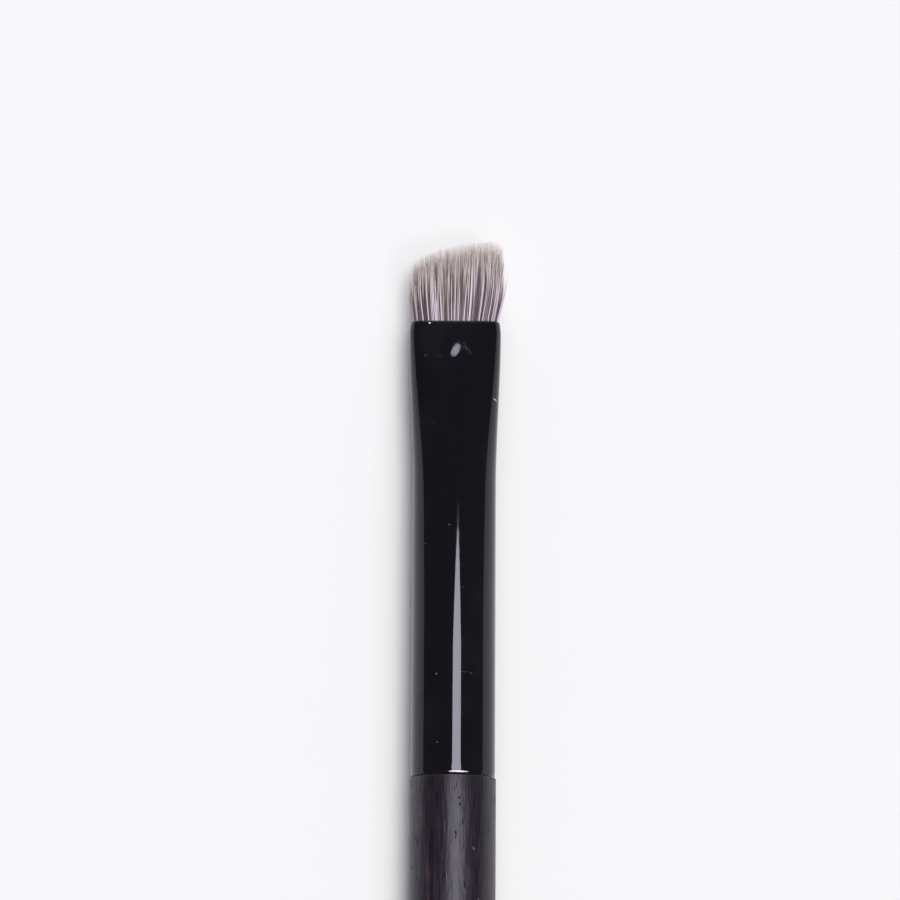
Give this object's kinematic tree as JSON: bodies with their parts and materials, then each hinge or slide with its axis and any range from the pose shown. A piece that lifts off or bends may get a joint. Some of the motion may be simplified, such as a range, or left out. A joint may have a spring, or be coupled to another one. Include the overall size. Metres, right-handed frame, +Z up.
{
  "type": "angled eyebrow brush",
  "caption": "Slim brow brush: slanted flat tuft of tapered filaments in a lacquered ferrule that goes from round to flat, on a turned dark wood handle with a flat tail.",
  "frame": {"origin": "on the table under the middle of the brush's length and width", "axes": "+Y along the brush from the tail to the hair tips, +Z up out of the flat of the hair, +X towards the toe, the long point of the slanted cut"},
  "size_m": [0.0076, 0.1652, 0.007],
  "materials": {
    "handle": "dark stained hardwood, satin",
    "ferrule": "aluminium, gloss black lacquer",
    "tenon_glue": "cured wood glue, translucent",
    "resin_plug": "cast epoxy, amber",
    "hair_knot": "bundled synthetic filament",
    "binding_thread": "waxed cotton thread",
    "hair": "tapered synthetic filament, satin"
  },
  "bodies": {
    "root": {"handle": "handle", "ferrule": "ferrule", "tenon_glue": "tenon_glue", "resin_plug": "resin_plug", "hair_knot": "hair_knot", "binding_thread": "binding_thread", "hair_heel": "hair", "hair_inner_heel": "hair", "hair_inner_toe": "hair", "hair_toe": "hair"}
  },
  "joints": []
}
